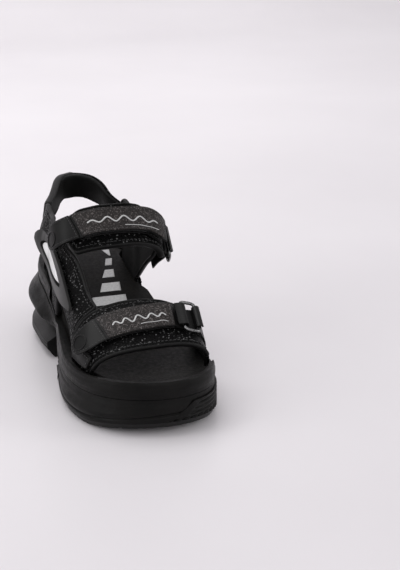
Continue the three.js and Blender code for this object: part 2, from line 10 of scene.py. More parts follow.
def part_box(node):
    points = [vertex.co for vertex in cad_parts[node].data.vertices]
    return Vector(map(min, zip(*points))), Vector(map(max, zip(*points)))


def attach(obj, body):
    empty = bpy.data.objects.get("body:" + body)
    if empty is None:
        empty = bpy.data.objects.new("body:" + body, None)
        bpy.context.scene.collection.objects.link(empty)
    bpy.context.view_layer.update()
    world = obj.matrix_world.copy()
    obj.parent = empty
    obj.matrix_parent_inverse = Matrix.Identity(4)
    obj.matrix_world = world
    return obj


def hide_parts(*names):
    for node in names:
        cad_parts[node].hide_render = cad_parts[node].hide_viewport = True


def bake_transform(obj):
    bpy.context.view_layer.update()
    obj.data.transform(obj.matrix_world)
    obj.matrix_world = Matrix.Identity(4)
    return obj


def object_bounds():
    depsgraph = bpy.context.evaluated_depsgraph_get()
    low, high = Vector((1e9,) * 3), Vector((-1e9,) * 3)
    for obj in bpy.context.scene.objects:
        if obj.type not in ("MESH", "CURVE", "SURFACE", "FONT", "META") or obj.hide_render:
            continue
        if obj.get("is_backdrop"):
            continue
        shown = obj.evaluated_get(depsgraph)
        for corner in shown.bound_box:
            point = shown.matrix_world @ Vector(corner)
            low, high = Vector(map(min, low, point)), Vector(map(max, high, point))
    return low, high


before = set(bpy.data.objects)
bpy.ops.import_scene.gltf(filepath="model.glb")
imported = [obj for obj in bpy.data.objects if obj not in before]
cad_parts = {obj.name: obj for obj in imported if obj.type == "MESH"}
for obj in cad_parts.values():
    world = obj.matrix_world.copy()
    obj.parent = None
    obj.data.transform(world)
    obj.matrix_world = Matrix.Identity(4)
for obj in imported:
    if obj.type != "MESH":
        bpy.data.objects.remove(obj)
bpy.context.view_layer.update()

MM = 0.001
SANDAL = "sandal"

# ---------------------------------------------------------------------------
# Studio: the sandal stands on a pale paper sweep. A broad lamp hangs over the outer side, a long
# one lights the toe from the front, and weak ones lift the outer and inner sides. One more lights
# the backdrop.


def aim(thing, target):
    thing.rotation_mode = "QUATERNION"
    thing.rotation_quaternion = (Vector(target) - thing.location).to_track_quat("-Z", "Y")


def lamp(name, place, target, size, power):
    data = bpy.data.lights.new(name, "AREA")
    data.shape = "RECTANGLE"
    data.size, data.size_y = size
    data.energy = power
    thing = bpy.data.objects.new(name, data)
    thing.location = place
    aim(thing, target)
    bpy.context.scene.collection.objects.link(thing)


# The lens and the place from which the sandal stands in the picture as it does in the photo.
camera = bpy.data.objects.new("camera", bpy.data.cameras.new("camera"))
camera.data.lens = 84.6
camera.location = (-0.2455, -0.9146, 0.3828)
aim(camera, (0.1266, 0.1601, 0))
bpy.context.scene.collection.objects.link(camera)
bpy.context.scene.camera = camera

lamp("top_lamp", (-0.35, 0.25, 1.3), (0, 0, 0.05), (1.2, 0.9), 9)
lamp("toe_lamp", (-0.1, -1.3, 0.75), (0, 0, 0.04), (1.4, 0.5), 4)
lamp("inner_lamp", (1.1, -0.6, 0.5), (0, 0, 0.05), (0.5, 0.5), 3.5)
lamp("backdrop_lamp", (0.2, 0.9, 1.6), (0.3, 2.3, 0.6), (2.2, 0.5), 26)
lamp("outer_lamp", (-1.1, -0.1, 0.35), (0, 0, 0.06), (0.6, 0.9), 4)

bpy.context.scene.view_settings.view_transform = "Standard"
world = bpy.data.worlds.new("studio")
world.use_nodes = True
world.node_tree.nodes["Background"].inputs["Color"].default_value = (0.86, 0.85, 0.87, 1)
world.node_tree.nodes["Background"].inputs["Strength"].default_value = 0.7
bpy.context.scene.world = world


def add_node(material, kind, **values):
    """A shader node of one kind. Values that name a socket set it; the others set a property."""
    made = material.node_tree.nodes.new("ShaderNode" + kind)
    for key, value in values.items():
        socket = made.inputs.get(key.replace("_", " "))
        if socket is not None and not hasattr(made, key):
            if hasattr(value, "is_output"):
                material.node_tree.links.new(value, socket)
            else:
                socket.default_value = value
        else:
            setattr(made, key, value)
    return made


def grey(value, warmth=0.0):
    return (value * (1 + warmth), value, value * (1 - warmth), 1)


def finish(name, colour, roughness, **sockets):
    """A new material with plain values on its own shader."""
    material = bpy.data.materials.new(name)
    material.use_nodes = True
    shader = material.node_tree.nodes["Principled BSDF"]
    shader.inputs["Base Color"].default_value = colour
    shader.inputs["Roughness"].default_value = roughness
    for key, value in sockets.items():
        shader.inputs[key.replace("_", " ")].default_value = value
    return material


def place_in(material):
    return add_node(material, "TexCoord").outputs["Object"]


def wire(material, output, socket):
    shader = material.node_tree.nodes["Principled BSDF"]
    material.node_tree.links.new(output, shader.inputs[socket])


def blotches(material, scale, low, high, socket="Base Color", detail=4.0):
    """Soft cloudy variation between two colours, or two roughness values given as greys."""
    cloud = add_node(material, "TexNoise", Vector=place_in(material), Scale=scale, Detail=detail)
    ramp = add_node(material, "ValToRGB", Fac=cloud.outputs["Fac"])
    ramp.color_ramp.elements[0].position, ramp.color_ramp.elements[1].position = 0.3, 0.7
    ramp.color_ramp.elements[0].color, ramp.color_ramp.elements[1].color = low, high
    wire(material, ramp.outputs["Color"], socket)


def relief(material, height, depth, strength=1.0):
    """Fine relief of this depth in metres. A second call adds its relief on top of the first."""
    shader = material.node_tree.nodes["Principled BSDF"]
    bump = add_node(material, "Bump", Height=height, Distance=depth, Strength=strength)
    old = shader.inputs["Normal"].links
    if old:
        material.node_tree.links.new(old[0].from_socket, bump.inputs["Normal"])
    wire(material, bump.outputs["Normal"], "Normal")


def grain(material, scale, depth, detail=3.0):
    cloud = add_node(material, "TexNoise", Vector=place_in(material), Scale=scale, Detail=detail)
    relief(material, cloud.outputs["Fac"], depth)


paper = finish("paper", grey(0.8), 0.36)
blotches(paper, 3.0, (0.63, 0.605, 0.625, 1), (0.67, 0.645, 0.665, 1))
grain(paper, 900.0, 0.00005)


def paper_sweep():
    bends = [(-3.0, 0.0), (1.6, 0.0), (1.9, 0.04), (2.15, 0.16), (2.3, 0.36), (2.4, 0.7), (2.45, 3.0)]
    mesh = bpy.data.meshes.new("paper_sweep")
    points = [(side * 3.5, y, z) for y, z in bends for side in (-1, 1)]
    faces = [(2 * i, 2 * i + 1, 2 * i + 3, 2 * i + 2) for i in range(len(bends) - 1)]
    mesh.from_pydata(points, [], faces)
    mesh.polygons.foreach_set("use_smooth", [True] * len(faces))
    mesh.materials.append(paper)
    sweep = bpy.data.objects.new("paper_sweep", mesh)
    bpy.context.scene.collection.objects.link(sweep)
    sweep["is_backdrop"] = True


paper_sweep()

# ---------------------------------------------------------------------------
# Outsole: two thin plates of black rubber under the foam, with cross grooves, and a ribbed
# rubber pod under the heel. They are moulded and glued on.


def node_mesh(node):
    """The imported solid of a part, with its facets joined into four-sided faces."""
    mesh = bmesh.new()
    mesh.from_mesh(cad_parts[node].data)
    bmesh.ops.remove_doubles(mesh, verts=mesh.verts, dist=2e-6)
    bmesh.ops.join_triangles(
        mesh, faces=mesh.faces, angle_face_threshold=0.7, angle_shape_threshold=1.2
    )
    mesh.normal_update()
    return mesh


def piece(name, mesh, material):
    """A new smooth-shaded object from a bmesh or a mesh."""
    if isinstance(mesh, bmesh.types.BMesh):
        data = bpy.data.meshes.new(name)
        mesh.to_mesh(data)
        mesh.free()
        mesh = data
    mesh.materials.clear()
    mesh.materials.append(material)
    mesh.polygons.foreach_set("use_smooth", [True] * len(mesh.polygons))
    made = bpy.data.objects.new(name, mesh)
    bpy.context.scene.collection.objects.link(made)
    return made


def bake_in(thing, *modifiers):
    """Adds modifiers, given as (kind, settings), and keeps their result as the mesh."""
    for kind, settings in modifiers:
        made = thing.modifiers.new(kind.lower(), kind)
        for key, value in settings.items():
            setattr(made, key, value)
    bpy.context.view_layer.update()
    result = bpy.data.meshes.new_from_object(thing.evaluated_get(bpy.context.evaluated_depsgraph_get()))
    thing.modifiers.clear()
    thing.data = result
    return thing


def rounded(name, node, material, edge, levels, angle=0.75):
    """A smooth copy of a solid whose sharp edges are rounded to this radius."""
    made = piece(name, node_mesh(node), material)
    round_edges = dict(width=edge, segments=2, limit_method="ANGLE", angle_limit=angle)
    return bake_in(made, ("BEVEL", round_edges), ("SUBSURF", dict(levels=levels, render_levels=levels)))


def points_of(thing):
    flat = np.zeros(len(thing.data.vertices) * 3)
    thing.data.vertices.foreach_get("co", flat)
    return flat.reshape(-1, 3)


def normals_of(thing):
    flat = np.zeros(len(thing.data.vertices) * 3)
    thing.data.vertices.foreach_get("normal", flat)
    return flat.reshape(-1, 3)


def set_points(thing, points):
    thing.data.vertices.foreach_set("co", points.reshape(-1))
    thing.data.update()


def stands_for(thing, body, slot, *nodes):
    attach(thing, body)
    if nodes:
        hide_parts(*nodes)


def between(values, low, high):
    """0 below low, 1 above high, with a soft step."""
    t = np.clip((values - low) / (high - low), 0, 1)
    return t * t * (3 - 2 * t)


def groove(values, centre, width):
    """1 at the centre, falling off to 0 on both sides of it."""
    return np.exp(-(((values - centre) / width) ** 2))


rubber = finish("outsole_rubber", grey(0.01), 0.42, Specular_IOR_Level=0.18)
blotches(rubber, 60.0, grey(0.004), grey(0.008, 0.05))
grain(rubber, 1800.0, 0.00008)

for plate in ("outsole_forefoot", "outsole_heel"):
    tread = rounded(plate + "_tread", plate, rubber, 0.5 * MM, 1)
    stands_for(tread, SANDAL, "rubber", plate)

POD_RIB = 2.1 * MM
POD_RIB_DEPTH = 0.45 * MM
pod = rounded("heel_pod_ribbed", "heel_pod", rubber, 1.2 * MM, 3)
place, out = points_of(pod), normals_of(pod)
low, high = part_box("heel_pod")
on_wall = between(1 - abs(out[:, 2]), 0.3, 0.6)
in_band = between(place[:, 2], low.z + 2 * MM, low.z + 3.5 * MM)
in_band *= 1 - between(place[:, 2], high.z - 5 * MM, high.z - 3.5 * MM)
ribs = 0.5 - 0.5 * np.cos(2 * math.pi * place[:, 2] / POD_RIB)
set_points(pod, place - out * (POD_RIB_DEPTH * ribs * on_wall * in_band)[:, None])
stands_for(pod, SANDAL, "rubber", "heel_pod")

# ---------------------------------------------------------------------------
# Midsole: one thick wedge of charcoal moulded foam, with flowing lines along its wall, a wing
# over the heel pod and a scooped arch. A bumper wraps the toe, ribbed at the inner corner.

foam = finish("moulded_foam", grey(0.02), 0.42, Specular_IOR_Level=0.10)
blotches(foam, 45.0, grey(0.002, 0.04), grey(0.006, 0.06))
blotches(foam, 220.0, grey(0.34), grey(0.48), "Roughness")
grain(foam, 1500.0, 0.00012)
grain(foam, 260.0, 0.00010)


def wall_top(node, step):
    """The highest points of a sole part, as a function of the length along the foot."""
    co = points_of(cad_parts[node])
    rows = np.round(co[:, 1] / step).astype(int)
    keys = np.unique(rows)
    highs = np.array([co[rows == key, 2].max() for key in keys])
    return lambda y: np.interp(y, keys * step, highs)


rim_high = wall_top("rim_band", 4 * MM)
foam_top = wall_top("midsole", 8 * MM)

# In mm. The toe's curve has its middle this far in front of the origin. Its wall is laid out flat
# at so much a degree, and comes to TOE_HALF on each side, where the straighter sides start.
TOE_CENTRE, MM_PER_DEGREE, TOE_HALF = 62, 0.75, 67
WALL_FOOT = 6
UPPER_LINE_DEPTH, LOWER_LINE_DEPTH, SWELL_DEPTH = 1.0, 1.1, 0.9

midsole = rounded("midsole_foam", "midsole", foam, 0.5 * MM, 3)
place, out = points_of(midsole), normals_of(midsole)
on_wall = between(1 - abs(out[:, 2]), 0.45, 0.75)
x, y, z = place.T / MM
turn = np.degrees(np.arctan2(x, -(y + TOE_CENTRE)))
height = (z - WALL_FOOT) / (foam_top(place[:, 1]) / MM - WALL_FOOT)

# The way along the wall in mm: 0 at the tip of the toe, below 0 on the outer side.
way = np.where(y < -TOE_CENTRE, turn * MM_PER_DEGREE, np.sign(x) * (TOE_HALF + y + TOE_CENTRE))

# The heights of two lines as shares of the wall. The lower one sweeps up to the bumper's corner.
upper = 0.84 - 0.16 * groove(way, -115, 40)
lower = 0.10 + 0.44 * between(way, -48, 16) + 0.42 * between(-way, 55, 105)
lower -= 0.36 * between(-way, 115, 170)
line = UPPER_LINE_DEPTH * groove(height, upper, 0.05) * (1 - between(way, -75, -45))
line += LOWER_LINE_DEPTH * groove(height, lower, 0.045) * (1 - between(way, 8, 16))
swell = SWELL_DEPTH * between(height, lower - 0.02, lower + 0.25) * (1 - between(height, 0.7, 1.0))
swell *= 1 - between(way, 6, 16)
shaped = on_wall * (1 - between(y, 20, 60))
set_points(midsole, place + out * ((swell - line) * MM * shaped)[:, None])
stands_for(midsole, SANDAL, "foam", "midsole")

BUMPER_CENTRE = 75 * MM
BUMPER_SWELL, CUT_DEPTH, RIB_DEPTH = 0.5, 1.9, 1.5
CUT_LEVELS, CUT_WIDTH = (0.52, 0.68, 0.84), 0.035
RIB_DEGREES, RIB_SLANT = 6.0, 1.9

bumper = rounded("toe_bumper_ribbed", "toe_bumper", foam, 0.5 * MM, 4)
place, out = points_of(bumper), normals_of(bumper)
low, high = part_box("toe_bumper")
turn = np.degrees(np.arctan2(place[:, 0], -(place[:, 1] + BUMPER_CENTRE)))
height = (place[:, 2] - low.z) / (high.z - low.z)
outward = out[:, 0] * place[:, 0] + out[:, 1] * (place[:, 1] + BUMPER_CENTRE)
outside = between(outward, 0.0, 0.02)
wall = between(1 - abs(out[:, 2]), 0.4, 0.7) * outside
cuts = sum(groove(height, level, CUT_WIDTH) for level in CUT_LEVELS)
cuts = cuts * between(turn, 4 + 22 * height, 8 + 22 * height) * (1 - between(turn, 62, 66))
ribs = 0.5 - 0.5 * np.cos(2 * math.pi * (turn / RIB_DEGREES - RIB_SLANT * height))
ribs = ribs * (1 - between(height, 0.38, 0.45)) * between(height, 0.04, 0.10)
raised = BUMPER_SWELL - CUT_DEPTH * cuts - RIB_DEPTH * ribs
set_points(bumper, place + out * (MM * wall * raised)[:, None])
stands_for(bumper, SANDAL, "foam", "toe_bumper")

# ---------------------------------------------------------------------------
# Rim: the rolled foam wall that stands up round the footbed and hides the lasting edge of the
# upper. A fine double seam runs round it.

# Two sewn rows, each this far below the rim's top edge, this deep and this wide, in mm.
SEAM_ROWS = [(3.2, 0.55, 0.5), (9.8, 0.3, 0.5)]

# Beside the inner anchor slot of the forefoot, the rim ends in a thin point. It's lowered there.
# Each pair holds the limits of a soft step, in mm.
SLOT_FRONT, SLOT_BACK, SLOT_SIDE, SLOT_TOP = (-101, -91), (-88, -84), (34, 40), (29, 34)
SLOT_DROP = 6 * MM

rim = rounded("rim_rolled", "rim_band", foam, 0.7 * MM, 2)
place, out = points_of(rim), normals_of(rim)
wall = between(1 - abs(out[:, 2]), 0.5, 0.8)
drop = (rim_high(place[:, 1]) - place[:, 2]) / MM
seam = sum(depth * groove(drop, level, width) for level, depth, width in SEAM_ROWS)
place = place - out * (seam * MM * wall)[:, None]
x, y, z = place.T / MM
slot_end = between(y, *SLOT_FRONT) * (1 - between(y, *SLOT_BACK))
slot_end = slot_end * between(x, *SLOT_SIDE) * between(z, *SLOT_TOP)
place[:, 2] -= SLOT_DROP * slot_end
set_points(rim, place)
stands_for(rim, SANDAL, "foam", "rim_band")

# ---------------------------------------------------------------------------
# Insole: a fibre board and a layer of soft foam, hidden under the cover. They keep the packed
# shape.

board = finish("fibre_board", grey(0.012), 0.8, Specular_IOR_Level=0.1)
blotches(board, 300.0, (0.006, 0.005, 0.004, 1), (0.016, 0.014, 0.012, 1))
grain(board, 1200.0, 0.0002)
soft_foam = finish("insole_foam", grey(0.01), 0.85, Specular_IOR_Level=0.1)
blotches(soft_foam, 500.0, grey(0.005), grey(0.012))
grain(soft_foam, 1400.0, 0.0003)
for node, material in (("insole_board", board), ("footbed_foam", soft_foam)):
    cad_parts[node].data.materials.clear()
    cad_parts[node].data.materials.append(material)

# ---------------------------------------------------------------------------
# Footbed cover: smooth black brushed cloth, pressed into a shallow bed. Five silver bars are
# printed along its inner side, shorter towards the heel.

brushed = finish(
    "brushed_cloth", grey(0.004), 0.5,
    Specular_IOR_Level=0.06, Sheen_Weight=0.02, Sheen_Roughness=0.4,
)
blotches(brushed, 90.0, grey(0.0018, 0.05), grey(0.0035, 0.15))
blotches(brushed, 400.0, grey(0.42), grey(0.62), "Roughness")
grain(brushed, 2600.0, 0.00006)
silver = finish("silver_print", grey(0.42), 0.38, Metallic=0.35)
blotches(silver, 700.0, grey(0.36), grey(0.5))
grain(silver, 2600.0, 0.00005)

cover = rounded("footbed_cover_cloth", "footbed_cover", brushed, 0.35 * MM, 3)
stands_for(cover, SANDAL, "bed_cover", "footbed_cover")


def surface_of(thing):
    return BVHTree.FromPolygons(
        [v.co.copy() for v in thing.data.vertices], [tuple(p.vertices) for p in thing.data.polygons]
    )


cover_surface = surface_of(cover)


def printed_bar(name, corners, thick):
    """A thin patch laid on the footbed, from four corners seen from above."""
    steps_u, steps_v = 14, 8
    a, b, c, d = (np.array(corner, float) * MM for corner in corners)
    grid = []
    for i in range(steps_u + 1):
        u = i / steps_u
        for j in range(steps_v + 1):
            v = j / steps_v
            x, y = (a * (1 - u) + b * u) * (1 - v) + (d * (1 - u) + c * u) * v
            hit = cover_surface.ray_cast(Vector((x, y, 0.2)), Vector((0, 0, -1)))[0]
            grid.append(hit + Vector((0, 0, thick)))
    count = steps_v + 1
    faces = [
        (i * count + j, (i + 1) * count + j, (i + 1) * count + j + 1, i * count + j + 1)
        for i in range(steps_u)
        for j in range(steps_v)
    ]
    mesh = bpy.data.meshes.new(name)
    mesh.from_pydata(grid, [], faces)
    made = piece(name, mesh, silver)
    bake_in(made, ("SOLIDIFY", dict(thickness=thick * 0.9, offset=-1)))
    stands_for(made, SANDAL, "reflective")


# Each bar in mm: its front edge's distance along the foot, then its left and right ends in front
# and behind.
BAR_DEPTH = 12.5
BARS = [
    (8, -12.3, 15.9, -8.2, 17.9),
    (27, -0.4, 16.3, 4.7, 18.6),
    (48, 7.2, 17.2, 12.6, 19.7),
    (68, 14.8, 20.5, 18.8, 24.0),
    (86, 23.3, 24.3, 20.5, 26.5),
]
for index, (front, left, right, back_left, back_right) in enumerate(BARS):
    back = front + BAR_DEPTH
    corners = [(left, front), (right, front), (back_right, back), (back_left, back)]
    printed_bar(f"silver_bar_{index + 1}", corners, 0.15 * MM)

# ---------------------------------------------------------------------------
# Linings: smooth black stretch cloth over thin foam. Those of the heel strap and the instep
# are stuffed pads. They are cut to the same outline as the shells and sewn in behind them.

stretch_cloth = finish(
    "stretch_cloth", grey(0.003), 0.6,
    Specular_IOR_Level=0.07, Sheen_Weight=0.015, Sheen_Roughness=0.45,
)
blotches(stretch_cloth, 120.0, grey(0.002), grey(0.004, 0.04))


def knit(material, pitch, depth):
    """Fine ribs of knitted cloth, crossed by rows of loops."""
    for direction, share in (("X", 1.0), ("Z", 0.7)):
        rows = add_node(
            material, "TexWave", Vector=place_in(material), Scale=1 / (pitch * 6.28) * 2,
            Distortion=0.6, bands_direction=direction,
        )
        relief(material, rows.outputs["Fac"], depth * share, 0.5)


knit(stretch_cloth, 0.8 * MM, 0.06 * MM)
grain(stretch_cloth, 2200.0, 0.00008)


def away_from_foot(point):
    """The direction from the middle of the foot to a point on the upper."""
    along = min(max(point.y, -0.09), 0.058)
    inside = Vector((0, along, 0.036 if point.y < -0.05 else 0.07))
    return point - inside


def outer_faces(mesh):
    """The faces of a panel that look away from the foot: of its two broad sides, the outer one."""
    seen, groups = set(), []
    for first in mesh.faces:
        if first in seen:
            continue
        seen.add(first)
        group, waiting = [], [first]
        while waiting:
            face = waiting.pop()
            group.append(face)
            for edge in face.edges:
                for other in edge.link_faces:
                    if other not in seen and face.normal.angle(other.normal, 3) < 0.8:
                        seen.add(other)
                        waiting.append(other)
        groups.append(group)
    groups.sort(key=lambda group: -sum(face.calc_area() for face in group))

    def outwardness(group):
        return sum(f.normal.dot(away_from_foot(f.calc_center_median())) * f.calc_area() for f in group)

    return max(groups[:2], key=outwardness)


def edge_loop(mesh, faces):
    """The points round the edge of a group of faces, in order."""
    inside = set(faces)
    follow = {}
    for face in faces:
        for loop in face.loops:
            others = [f for f in loop.edge.link_faces if f is not face]
            if not others or others[0] not in inside:
                follow[loop.vert] = loop.link_loop_next.vert
    start = next(iter(follow))
    loop, vert = [start.co.copy()], follow[start]
    while vert is not start and len(loop) <= len(follow):
        loop.append(vert.co.copy())
        vert = follow[vert]
    return loop


def even_steps(points, step, closed=True, soften=2):
    """A polyline cut to equal steps, with its corners softened."""
    path = np.array([tuple(p) for p in points])
    if closed:
        path = np.vstack([path, path[:1]])
    lengths = np.concatenate([[0], np.cumsum(np.linalg.norm(np.diff(path, axis=0), axis=1))])
    count = max(int(round(lengths[-1] / step)), 3)
    at = np.linspace(0, lengths[-1], count + 1)
    if closed:
        at = at[:-1]
    made = np.stack([np.interp(at, lengths, path[:, axis]) for axis in range(3)], 1)
    for _ in range(soften):
        before, after = np.roll(made, 1, 0), np.roll(made, -1, 0)
        eased = (before + 2 * made + after) / 4
        if not closed:
            eased[0], eased[-1] = made[0], made[-1]
        made = eased
    return made


def panel_edge(node, step=1.5 * MM):
    """A panel's outline on its outer side, the normals and inward directions there, and that side."""
    mesh = node_mesh(node)
    faces = outer_faces(mesh)
    outline = even_steps(edge_loop(mesh, faces), step)
    corners = {}
    for face in faces:
        for vert in face.verts:
            corners.setdefault(vert.index, len(corners))
    mesh.verts.ensure_lookup_table()
    surface = BVHTree.FromPolygons(
        [mesh.verts[i].co.copy() for i in corners],
        [tuple(corners[v.index] for v in face.verts) for face in faces],
    )
    normals = np.array([tuple(surface.find_nearest(Vector(p))[1]) for p in outline])
    for _ in range(3):
        normals = (np.roll(normals, 1, 0) + 2 * normals + np.roll(normals, -1, 0)) / 4
    normals /= np.linalg.norm(normals, axis=1)[:, None]
    along = np.roll(outline, -1, 0) - np.roll(outline, 1, 0)
    inward = np.cross(normals, along)
    inward /= np.linalg.norm(inward, axis=1)[:, None] + 1e-12
    mesh.free()
    return outline, normals, inward, surface


def runs(keep):
    """The unbroken runs of a closed row of yes and no, as lists of indices."""
    count = len(keep)
    if keep.all():
        return [list(range(count)) + [0]]
    start = int(np.argmin(keep))
    found, current = [], []
    for i in range(start, start + count + 1):
        if keep[i % count]:
            current.append(i % count)
        elif current:
            found.append(current)
            current = []
    return [run for run in found if len(run) > 3]


def tube(mesh, path, radius, flat, around, flatten=1.0):
    """A cord along a path. It can be flattened along the normals given."""
    path = np.array(path)
    closed = np.linalg.norm(path[0] - path[-1]) < 1e-7
    if closed:
        path = path[:-1]
    count = len(path)
    rings = []
    for i in range(count):
        before = path[(i - 1) % count] if closed or i else path[i]
        after = path[(i + 1) % count] if closed or i < count - 1 else path[i]
        along = Vector(after - before).normalized()
        up = Vector(flat[i])
        side = along.cross(up).normalized()
        up = side.cross(along)
        size = radius if closed or 0 < i < count - 1 else radius * 0.55
        ring = []
        for k in range(around):
            a = 2 * math.pi * k / around
            offset = side * (math.cos(a) * size) + up * (math.sin(a) * size * flatten)
            ring.append(mesh.verts.new(Vector(path[i]) + offset))
        rings.append(ring)
    for i in range(count if closed else count - 1):
        one, two = rings[i], rings[(i + 1) % count]
        for k in range(around):
            mesh.faces.new((one[k], one[(k + 1) % around], two[(k + 1) % around], two[k]))
    if not closed:
        mesh.faces.new(rings[0][::-1])
        mesh.faces.new(rings[-1])


def clear_of_rim(points, above):
    """Which points stand above the rim, so that nothing is sewn through the foam."""
    rim_inner = abs(points[:, 0]) > 0.028
    return ~(rim_inner & (points[:, 2] < rim_high(points[:, 1]) + above))


BINDING = 1.15 * MM
binding_cloth = finish("edge_binding", grey(0.004), 0.42, Specular_IOR_Level=0.16, Sheen_Weight=0.02)
blotches(binding_cloth, 200.0, grey(0.002), grey(0.005, 0.04))
knit(binding_cloth, 0.7 * MM, 0.05 * MM)
thread = finish("black_thread", grey(0.015), 0.5, Sheen_Weight=0.1)
blotches(thread, 900.0, grey(0.01), grey(0.025))
grain(thread, 4000.0, 0.0001)


def stitches(name, points, normals, body, slot, length=2.1 * MM, gap=0.9 * MM, yarn=0.28 * MM):
    """A row of sewn stitches along a path: short cords with sunk ends."""
    mesh = bmesh.new()
    steps = np.linalg.norm(np.diff(points, axis=0), axis=1)
    lengths = np.concatenate([[0], np.cumsum(steps)])
    count = int(lengths[-1] / (length + gap))
    for i in range(count):
        at = np.linspace(i * (length + gap), i * (length + gap) + length, 5)
        place = np.stack([np.interp(at, lengths, points[:, axis]) for axis in range(3)], 1)
        up = np.stack([np.interp(at, lengths, normals[:, axis]) for axis in range(3)], 1)
        lift = np.array([-0.7, 0.35, 0.6, 0.35, -0.7]) * yarn
        tube(mesh, place + up * lift[:, None], yarn, up, around=6)
    stands_for(piece(name, mesh, thread), body, slot)


def edge_finish(name, node, body, slot, depth, seam_in=3.2 * MM, reach=1.0):
    """Binds the raw edge of a panel and sews a row of stitches inside it."""
    outline, normals, inward, surface = panel_edge(node)
    middle = outline - normals * depth / 2 + inward * 0.2 * MM
    mesh = bmesh.new()
    for run in runs(clear_of_rim(outline, 0.5 * MM)):
        flat = normals[run]
        tube(mesh, middle[run], BINDING * reach, flat, 12, (depth / 2 + 0.35 * MM) / (BINDING * reach))
    if len(mesh.verts):
        stands_for(piece(name + "_binding", mesh, binding_cloth), body, slot)
    else:
        mesh.free()
    for number, run in enumerate(runs(clear_of_rim(outline, 3 * MM))):
        path, up = [], []
        for i in run:
            near = surface.find_nearest(Vector(outline[i] + inward[i] * seam_in))
            path.append(tuple(near[0]))
            up.append(tuple(near[1]))
        stitches(f"{name}_stitches_{number + 1}", np.array(path), np.array(up), body, slot)


def stuffed(thing, swell, voxel=1.1 * MM):
    """Blows a pad up like a filled bag, towards the foot and never by more than swell."""
    bake_in(thing, ("REMESH", dict(mode="VOXEL", voxel_size=voxel)))
    flat = points_of(thing)
    cloth = thing.modifiers.new("filling", "CLOTH")
    cloth.settings.use_pressure = True
    cloth.settings.uniform_pressure_force = 4
    cloth.settings.quality = 5
    cloth.settings.effector_weights.gravity = 0
    scene = bpy.context.scene
    for number in range(1, 21):
        scene.frame_set(number)
    bake_in(thing)
    scene.frame_set(1)
    moved = points_of(thing) - flat
    towards_foot = -np.array([tuple(away_from_foot(Vector(p)).normalized()) for p in flat])
    amount = np.clip((moved * towards_foot).sum(1), -0.1 * MM, swell)
    set_points(thing, flat + towards_foot * amount[:, None])
    bake_in(thing, ("SMOOTH", dict(factor=0.5, iterations=3)), ("SUBSURF", dict(levels=1, render_levels=1)))
    thing.data.polygons.foreach_set("use_smooth", [True] * len(thing.data.polygons))


UPPER = ["forefoot_band", "lateral_bridge", "lateral_quarter", "medial_quarter", "instep_pad", "heel_strap"]
STUFFED = {"instep_pad": 1.6 * MM, "heel_strap": 1.6 * MM}
for part in UPPER:
    lining = rounded(part + "_lining_cloth", part + "_lining", stretch_cloth, 0.5 * MM, 2)
    if part in STUFFED:
        stuffed(lining, STUFFED[part])
    stands_for(lining, SANDAL, "lining", part + "_lining")

# ---------------------------------------------------------------------------
# Shells: black mesh full of tiny glossy sequins, bound round the edge with soft piping and sewn
# through to the lining. They take the strain of the straps.

sequin_mesh = finish("sequin_mesh", grey(0.006), 0.5, Specular_IOR_Level=0.06)


def sequins(material, size, dark, glint_colour, share, tilt):
    """Flat flakes in random shades and tilts, with dark gaps between them. The top share of the flakes is
    painted bright, as painted glints.
    """
    spot = place_in(material)
    flakes = add_node(material, "TexVoronoi", Vector=spot, Scale=1 / size)
    shade = add_node(material, "SeparateColor", Color=flakes.outputs["Color"])
    ramp = add_node(material, "ValToRGB", Fac=shade.outputs[0])
    marks = ramp.color_ramp.elements
    marks[0].position, marks[0].color = 0.0, dark
    # The top share of the flakes is painted bright: painted glints.
    marks[1].position, marks[1].color = 1.0, glint_colour
    middle = marks.new(1 - share)
    middle.color = tuple(c * 1.5 for c in dark[:3]) + (1,)
    wire(material, ramp.outputs["Color"], "Base Color")
    gloss = add_node(material, "ValToRGB", Fac=shade.outputs[1])
    gloss.color_ramp.elements[0].color, gloss.color_ramp.elements[1].color = grey(0.16), grey(0.7)
    wire(material, gloss.outputs["Color"], "Roughness")
    relief(material, flakes.outputs["Distance"], -0.4 * size, 0.6)
    lean = add_node(material, "TexVoronoi", Vector=spot, Scale=1 / size)
    fine = add_node(material, "TexNoise", Vector=spot, Scale=0.6 / size, Detail=2.0)
    relief(material, fine.outputs["Fac"], tilt * size)
    relief(material, lean.outputs["Color"], tilt * size, 0.7)


# Seven in a hundred flakes are painted bright, as painted glints on the black sequins.
sequins(sequin_mesh, 0.9 * MM, grey(0.0010), grey(0.12), 0.07, 0.5)

# How thick lining and shell are together, which is what the binding goes round, in mm.
PLAIN_DEPTH = 3.2
PADDED_DEPTH = {"instep_pad": 4.2, "heel_strap": 5.0}
for part in UPPER:
    shell = rounded(part + "_shell_mesh", part + "_shell", sequin_mesh, 0.35 * MM, 2)
    stands_for(shell, SANDAL, "mesh", part + "_shell")
    edge_finish(part, part + "_shell", SANDAL, "lining", PADDED_DEPTH.get(part, PLAIN_DEPTH) * MM)

# ---------------------------------------------------------------------------
# Corner panel: a smooth patch of coated cloth glued and sewn over the outer front corner, where
# the foot bends and the mesh would wear.

coated_cloth = finish("coated_cloth", grey(0.008), 0.38, Specular_IOR_Level=0.15)
blotches(coated_cloth, 80.0, grey(0.003), grey(0.006, 0.03))
knit(coated_cloth, 0.5 * MM, 0.03 * MM)
grain(coated_cloth, 1800.0, 0.00006)

corner = rounded("corner_panel_cloth", "corner_panel", coated_cloth, 0.4 * MM, 2)
stands_for(corner, SANDAL, "smooth_panel", "corner_panel")
edge_finish("corner_panel", "corner_panel", SANDAL, "webbing", 1.3 * MM, 2.0 * MM, reach=0.5)

# ---------------------------------------------------------------------------
# Side ornament: a long leaf-shaped ring moulded in satin grey plastic, with a bright reflective
# film behind its opening. It is heat-pressed onto the outer quarter.

